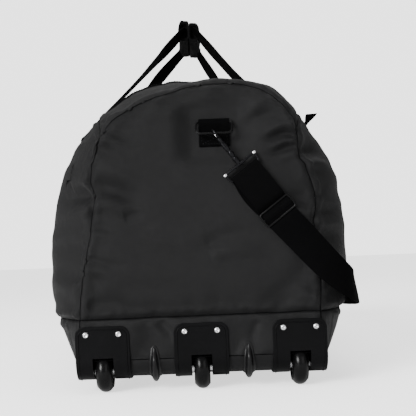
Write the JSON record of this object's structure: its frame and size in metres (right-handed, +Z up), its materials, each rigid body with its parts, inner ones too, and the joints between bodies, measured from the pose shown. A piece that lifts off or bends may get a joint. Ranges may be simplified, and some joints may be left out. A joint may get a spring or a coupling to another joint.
{
  "type": "wheeled duffel bag",
  "caption": "Large black rolling duffel with moulded wheel housings, carry handles, a shoulder strap on snap hooks, a zipped lid and a pull-out tow handle.",
  "frame": {"origin": "centre of the outline in X and Y, at floor level", "axes": "Y runs along the bag with the wheel end at -Y, X to the right seen from the wheel end, Z up"},
  "size_m": [0.4951, 0.9436, 0.6715],
  "materials": {
    "body_fabric": "soft woven polyester with a faint sheen",
    "lid_fabric": "soft woven polyester with a faint sheen",
    "boot_fabric": "heavier coated polyester",
    "webbing": "ribbed polyester webbing",
    "grip_fabric": "padded fabric sleeve",
    "lining": "smooth lining over a stiff sheet",
    "zip": "woven tape with nylon coil",
    "zip_metal": "black lacquered die-cast",
    "moulding": "satin moulded plastic",
    "skid_plastic": "hard moulded plastic",
    "foot_rubber": "moulded rubber",
    "tyre": "glossy polyurethane tread",
    "core_plastic": "moulded wheel core",
    "bright_steel": "polished zinc-plated steel",
    "hardware_black": "gloss black coated wire",
    "hook_metal": "gunmetal coated die-cast",
    "tube_aluminium": "dark anodised",
    "base_sheet": "stiff corrugated sheet"
  },
  "bodies": {
    "bag": {"end_panel_front": "body_fabric", "end_panel_rear": "body_fabric", "side_panel_left": "body_fabric", "side_panel_right": "body_fabric", "top_yoke_front": "body_fabric", "top_yoke_rear": "body_fabric", "boot_front": "boot_fabric", "boot_rear": "boot_fabric", "boot_left": "boot_fabric", "boot_right": "boot_fabric", "wheel_housing_left": "moulding", "wheel_housing_middle": "moulding", "wheel_housing_right": "moulding", "bottom_panel": "boot_fabric", "zip_track": "zip", "side_pull_tab": "webbing", "side_webbing": "webbing", "strap_tabs": "webbing", "housing_rivets": "bright_steel", "wheel_axles": "bright_steel", "skid_guards": "skid_plastic", "rear_feet": "foot_rubber", "base_board": "base_sheet", "floor_panel": "lining", "tow_tubes_outer": "tube_aluminium", "tube_brackets": "moulding", "tow_cup": "moulding"},
    "lid": {"lid_panel": "lid_fabric", "lid_flap": "lid_fabric"},
    "slider_front": {"zip_slider_front": "zip_metal"},
    "slider_rear": {"zip_slider_rear": "zip_metal"},
    "pull_front": {"zip_pull_front": "zip_metal"},
    "pull_rear": {"zip_pull_rear": "zip_metal"},
    "carry_left": {"carry_webbing_left": "webbing", "carry_grip_left": "grip_fabric"},
    "carry_right": {"carry_webbing_right": "webbing", "carry_grip_right": "grip_fabric"},
    "tow_handle": {"tow_tubes_inner": "tube_aluminium", "tow_grip": "moulding"},
    "tow_button": {"tow_button": "moulding"},
    "ring_front": {"strap_ring_front": "hardware_black"},
    "ring_rear": {"strap_ring_rear": "hardware_black"},
    "strap": {"strap_webbing": "webbing", "strap_adjuster": "hardware_black", "hook_frames": "hook_metal"},
    "hook_front": {"snap_hook_front": "hook_metal"},
    "hook_rear": {"snap_hook_rear": "hook_metal"},
    "gate_front": {"hook_gate_front": "hook_metal"},
    "gate_rear": {"hook_gate_rear": "hook_metal"},
    "wheel_left": {"wheel_tyre_left": "tyre", "wheel_core_left": "core_plastic", "wheel_bearings_left": "bright_steel"},
    "wheel_middle": {"wheel_tyre_middle": "tyre", "wheel_core_middle": "core_plastic", "wheel_bearings_middle": "bright_steel"},
    "wheel_right": {"wheel_tyre_right": "tyre", "wheel_core_right": "core_plastic", "wheel_bearings_right": "bright_steel"}
  },
  "joints": [
    {"name": "wheel_left_spin", "type": "hinge", "parent": "bag", "child": "wheel_left", "pos_m": [-0.16045, -0.4215, 0.032], "axis": [1, 0, 0], "continuous": true},
    {"name": "wheel_middle_spin", "type": "hinge", "parent": "bag", "child": "wheel_middle", "pos_m": [-0.01245, -0.4215, 0.032], "axis": [1, 0, 0], "continuous": true},
    {"name": "wheel_right_spin", "type": "hinge", "parent": "bag", "child": "wheel_right", "pos_m": [0.13555, -0.4215, 0.032], "axis": [1, 0, 0], "continuous": true},
    {"name": "lid_open", "type": "hinge", "parent": "bag", "child": "lid", "pos_m": [0.12755, 0, 0.44083], "axis": [0, 1, 0], "range_deg": [0, 95]},
    {"name": "carry_right_fold", "type": "hinge", "parent": "bag", "child": "carry_right", "pos_m": [0.17859, 0, 0.39], "axis": [0, 1, 0], "range_deg": [0, 181]},
    {"name": "carry_left_fold", "type": "hinge", "parent": "bag", "child": "carry_left", "pos_m": [-0.20349, 0, 0.39], "axis": [0, 1, 0], "range_deg": [-181, 0]},
    {"name": "slider_front_travel", "type": "slide", "parent": "bag", "child": "slider_front", "axis": [0, -1, 0], "range_m": [0, 0.27]},
    {"name": "slider_rear_travel", "type": "slide", "parent": "bag", "child": "slider_rear", "axis": [0, 1, 0], "range_m": [0, 0.27]},
    {"name": "pull_front_lift", "type": "hinge", "parent": "slider_front", "child": "pull_front", "pos_m": [-0.16335, -0.0084, 0.43947], "axis": [-0.7684, 0, -0.6399], "range_deg": [0, 150]},
    {"name": "pull_rear_lift", "type": "hinge", "parent": "slider_rear", "child": "pull_rear", "pos_m": [-0.16335, 0.0084, 0.43947], "axis": [0.7684, 0, 0.6399], "range_deg": [0, 150]},
    {"name": "tow_slide", "type": "slide", "parent": "bag", "child": "tow_handle", "axis": [0, 1, 0], "range_m": [0, 0.38]},
    {"name": "tow_button_press", "type": "slide", "parent": "tow_handle", "child": "tow_button", "axis": [0, -1, 0], "range_m": [0, 0.004], "stiffness_N_per_m": 300, "springref_m": -0.001},
    {"name": "ring_front_swing", "type": "hinge", "parent": "bag", "child": "ring_front", "pos_m": [0.01955, -0.45135, 0.402], "axis": [1, 0, 0], "range_deg": [0, 6]},
    {"name": "ring_rear_swing", "type": "hinge", "parent": "bag", "child": "ring_rear", "pos_m": [0.01955, 0.45135, 0.402], "axis": [-1, 0, 0], "range_deg": [0, 6]},
    {"name": "strap_swing", "type": "hinge", "parent": "bag", "child": "strap", "pos_m": [0.01955, 0, 0.3824], "axis": [0, 1, 0], "range_deg": [-12, 0]},
    {"name": "hook_front_swivel", "type": "hinge", "parent": "strap", "child": "hook_front", "pos_m": [0.01955, -0.46134, 0.3824], "axis": [0.6018, 0, -0.7986], "range_deg": [-8, 8]},
    {"name": "gate_front_open", "type": "hinge", "parent": "hook_front", "child": "gate_front", "pos_m": [0.02464, -0.46564, 0.37565], "axis": [-0.7986, 0, -0.6018], "range_deg": [0, 12], "stiffness_Nm_per_rad": 0.02, "springref_deg": -5.73},
    {"name": "hook_rear_swivel", "type": "hinge", "parent": "strap", "child": "hook_rear", "pos_m": [0.01955, 0.46134, 0.3824], "axis": [0.6018, 0, -0.7986], "range_deg": [-8, 8]},
    {"name": "gate_rear_open", "type": "hinge", "parent": "hook_rear", "child": "gate_rear", "pos_m": [0.02464, 0.46564, 0.37565], "axis": [0.7986, 0, 0.6018], "range_deg": [0, 12], "stiffness_Nm_per_rad": 0.02, "springref_deg": -5.73}
  ],
  "couplings": [
    {"joint": "carry_right_fold", "follows": "lid_open", "ratio": 1.9},
    {"joint": "carry_left_fold", "follows": "lid_open", "ratio": -1.9}
  ]
}
